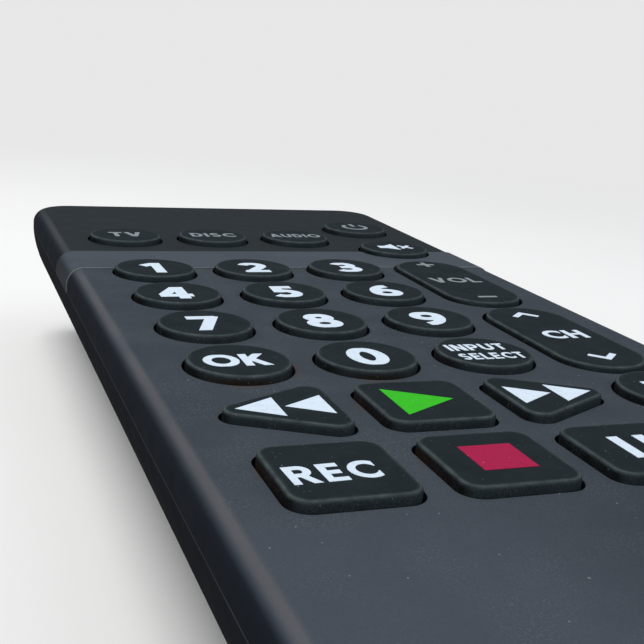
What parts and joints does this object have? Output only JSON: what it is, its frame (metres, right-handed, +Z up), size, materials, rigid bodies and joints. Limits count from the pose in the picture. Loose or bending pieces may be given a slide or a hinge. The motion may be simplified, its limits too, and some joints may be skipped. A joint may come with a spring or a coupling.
{
  "type": "remote control",
  "caption": "Slim hand-held remote control with a rubber key field, two rocking keys, a slide-off battery door and an infrared window.",
  "frame": {"origin": "middle of the flat rest face under the case", "axes": "+Y towards the infrared end, +Z up through the keys, +X to the right seen from above with the infrared end away"},
  "size_m": [0.0582, 0.169, 0.0217],
  "materials": {
    "deck_plastic": "dark blue-grey moulded plastic with a fine spark texture",
    "shell_plastic": "near-black moulded plastic, finely textured",
    "band_plastic": "slightly lighter grey moulded plastic, smoother",
    "window_plastic": "polished infrared-passing plastic, nearly black",
    "key_rubber": "dark green-grey silicone rubber, satin and dusty",
    "mat_rubber": "plain silicone rubber sheet",
    "board": "green solder-masked board",
    "carbon": "printed carbon, matt black",
    "spring_steel": "nickel-plated spring steel",
    "screw_steel": "blackened steel",
    "lamp_plastic": "clear tinted lamp resin",
    "tin": "tinned copper wire",
    "chip_plastic": "black moulded chip resin",
    "ceramic_blue": "blue dipped ceramic",
    "capacitor_sleeve": "shrunk plastic sleeve",
    "cell_can": "printed steel can, plain grey"
  },
  "bodies": {
    "case": {"upper_case": "deck_plastic", "lower_case": "shell_plastic", "divider_band": "band_plastic", "ir_window": "window_plastic", "keypad_mat": "mat_rubber", "circuit_board": "board", "contact_pads": "carbon", "minus_contact": "spring_steel", "plus_contact": "spring_steel", "bridge_contact": "spring_steel", "case_screws": "screw_steel", "ir_emitter": "lamp_plastic", "ir_leads": "tin", "control_chip": "chip_plastic", "resonator": "ceramic_blue", "capacitor": "capacitor_sleeve", "resistors": "chip_plastic", "cell_left": "cell_can", "cell_right": "cell_can"},
    "door": {"battery_door": "shell_plastic"},
    "key_1_body": {"key_1": "key_rubber"},
    "key_2_body": {"key_2": "key_rubber"},
    "key_3_body": {"key_3": "key_rubber"},
    "key_4_body": {"key_4": "key_rubber"},
    "key_5_body": {"key_5": "key_rubber"},
    "key_6_body": {"key_6": "key_rubber"},
    "key_7_body": {"key_7": "key_rubber"},
    "key_8_body": {"key_8": "key_rubber"},
    "key_9_body": {"key_9": "key_rubber"},
    "key_ok_body": {"key_ok": "key_rubber"},
    "key_0_body": {"key_0": "key_rubber"},
    "key_text_body": {"key_text": "key_rubber"},
    "key_rewind_body": {"key_rewind": "key_rubber"},
    "key_play_body": {"key_play": "key_rubber"},
    "key_forward_body": {"key_forward": "key_rubber"},
    "key_record_body": {"key_record": "key_rubber"},
    "key_stop_body": {"key_stop": "key_rubber"},
    "key_pause_body": {"key_pause": "key_rubber"},
    "key_menu_body": {"key_menu": "key_rubber"},
    "key_back_body": {"key_back": "key_rubber"},
    "key_mute_body": {"key_mute": "key_rubber"},
    "key_power_body": {"key_power": "key_rubber"},
    "key_source_1_body": {"key_source_1": "key_rubber"},
    "key_source_2_body": {"key_source_2": "key_rubber"},
    "key_source_3_body": {"key_source_3": "key_rubber"},
    "rocker_volume_body": {"rocker_volume": "key_rubber"},
    "rocker_channel_body": {"rocker_channel": "key_rubber"}
  },
  "joints": [
    {"name": "door_slide", "type": "slide", "parent": "case", "child": "door", "axis": [0, -1, 0], "range_m": [0, 0.06]},
    {"name": "key_1_press", "type": "slide", "parent": "case", "child": "key_1_body", "axis": [0, 0, -1], "range_m": [0, 0.0008], "stiffness_N_per_m": 900, "springref_m": -0.0006},
    {"name": "key_2_press", "type": "slide", "parent": "case", "child": "key_2_body", "axis": [0, 0, -1], "range_m": [0, 0.0008], "stiffness_N_per_m": 900, "springref_m": -0.0006},
    {"name": "key_3_press", "type": "slide", "parent": "case", "child": "key_3_body", "axis": [0, 0, -1], "range_m": [0, 0.0008], "stiffness_N_per_m": 900, "springref_m": -0.0006},
    {"name": "key_4_press", "type": "slide", "parent": "case", "child": "key_4_body", "axis": [0, 0, -1], "range_m": [0, 0.0008], "stiffness_N_per_m": 900, "springref_m": -0.0006},
    {"name": "key_5_press", "type": "slide", "parent": "case", "child": "key_5_body", "axis": [0, 0, -1], "range_m": [0, 0.0008], "stiffness_N_per_m": 900, "springref_m": -0.0006},
    {"name": "key_6_press", "type": "slide", "parent": "case", "child": "key_6_body", "axis": [0, 0, -1], "range_m": [0, 0.0008], "stiffness_N_per_m": 900, "springref_m": -0.0006},
    {"name": "key_7_press", "type": "slide", "parent": "case", "child": "key_7_body", "axis": [0, 0, -1], "range_m": [0, 0.0008], "stiffness_N_per_m": 900, "springref_m": -0.0006},
    {"name": "key_8_press", "type": "slide", "parent": "case", "child": "key_8_body", "axis": [0, 0, -1], "range_m": [0, 0.0008], "stiffness_N_per_m": 900, "springref_m": -0.0006},
    {"name": "key_9_press", "type": "slide", "parent": "case", "child": "key_9_body", "axis": [0, 0, -1], "range_m": [0, 0.0008], "stiffness_N_per_m": 900, "springref_m": -0.0006},
    {"name": "key_ok_press", "type": "slide", "parent": "case", "child": "key_ok_body", "axis": [0, 0, -1], "range_m": [0, 0.0008], "stiffness_N_per_m": 900, "springref_m": -0.0006},
    {"name": "key_0_press", "type": "slide", "parent": "case", "child": "key_0_body", "axis": [0, 0, -1], "range_m": [0, 0.0008], "stiffness_N_per_m": 900, "springref_m": -0.0006},
    {"name": "key_text_press", "type": "slide", "parent": "case", "child": "key_text_body", "axis": [0, 0, -1], "range_m": [0, 0.0008], "stiffness_N_per_m": 900, "springref_m": -0.0006},
    {"name": "key_rewind_press", "type": "slide", "parent": "case", "child": "key_rewind_body", "axis": [0, 0, -1], "range_m": [0, 0.0008], "stiffness_N_per_m": 900, "springref_m": -0.0006},
    {"name": "key_play_press", "type": "slide", "parent": "case", "child": "key_play_body", "axis": [0, 0, -1], "range_m": [0, 0.0008], "stiffness_N_per_m": 900, "springref_m": -0.0006},
    {"name": "key_forward_press", "type": "slide", "parent": "case", "child": "key_forward_body", "axis": [0, 0, -1], "range_m": [0, 0.0008], "stiffness_N_per_m": 900, "springref_m": -0.0006},
    {"name": "key_record_press", "type": "slide", "parent": "case", "child": "key_record_body", "axis": [0, 0, -1], "range_m": [0, 0.0008], "stiffness_N_per_m": 900, "springref_m": -0.0006},
    {"name": "key_stop_press", "type": "slide", "parent": "case", "child": "key_stop_body", "axis": [0, 0, -1], "range_m": [0, 0.0008], "stiffness_N_per_m": 900, "springref_m": -0.0006},
    {"name": "key_pause_press", "type": "slide", "parent": "case", "child": "key_pause_body", "axis": [0, 0, -1], "range_m": [0, 0.0008], "stiffness_N_per_m": 900, "springref_m": -0.0006},
    {"name": "key_menu_press", "type": "slide", "parent": "case", "child": "key_menu_body", "axis": [0, 0, -1], "range_m": [0, 0.0008], "stiffness_N_per_m": 900, "springref_m": -0.0006},
    {"name": "key_back_press", "type": "slide", "parent": "case", "child": "key_back_body", "axis": [0, 0, -1], "range_m": [0, 0.0008], "stiffness_N_per_m": 900, "springref_m": -0.0006},
    {"name": "key_mute_press", "type": "slide", "parent": "case", "child": "key_mute_body", "axis": [0, 0, -1], "range_m": [0, 0.0008], "stiffness_N_per_m": 900, "springref_m": -0.0006},
    {"name": "key_power_press", "type": "slide", "parent": "case", "child": "key_power_body", "axis": [0, 0, -1], "range_m": [0, 0.0008], "stiffness_N_per_m": 900, "springref_m": -0.0006},
    {"name": "key_source_1_press", "type": "slide", "parent": "case", "child": "key_source_1_body", "axis": [0, 0, -1], "range_m": [0, 0.0008], "stiffness_N_per_m": 900, "springref_m": -0.0006},
    {"name": "key_source_2_press", "type": "slide", "parent": "case", "child": "key_source_2_body", "axis": [0, 0, -1], "range_m": [0, 0.0008], "stiffness_N_per_m": 900, "springref_m": -0.0006},
    {"name": "key_source_3_press", "type": "slide", "parent": "case", "child": "key_source_3_body", "axis": [0, 0, -1], "range_m": [0, 0.0008], "stiffness_N_per_m": 900, "springref_m": -0.0006},
    {"name": "rocker_volume_rock", "type": "hinge", "parent": "case", "child": "rocker_volume_body", "pos_m": [0.01875, 0.02763, 0.018], "axis": [1, 0, 0], "range_deg": [-4, 4], "stiffness_Nm_per_rad": 0.15},
    {"name": "rocker_channel_rock", "type": "hinge", "parent": "case", "child": "rocker_channel_body", "pos_m": [0.01875, 0.00263, 0.018], "axis": [1, 0, 0], "range_deg": [-4, 4], "stiffness_Nm_per_rad": 0.15}
  ]
}
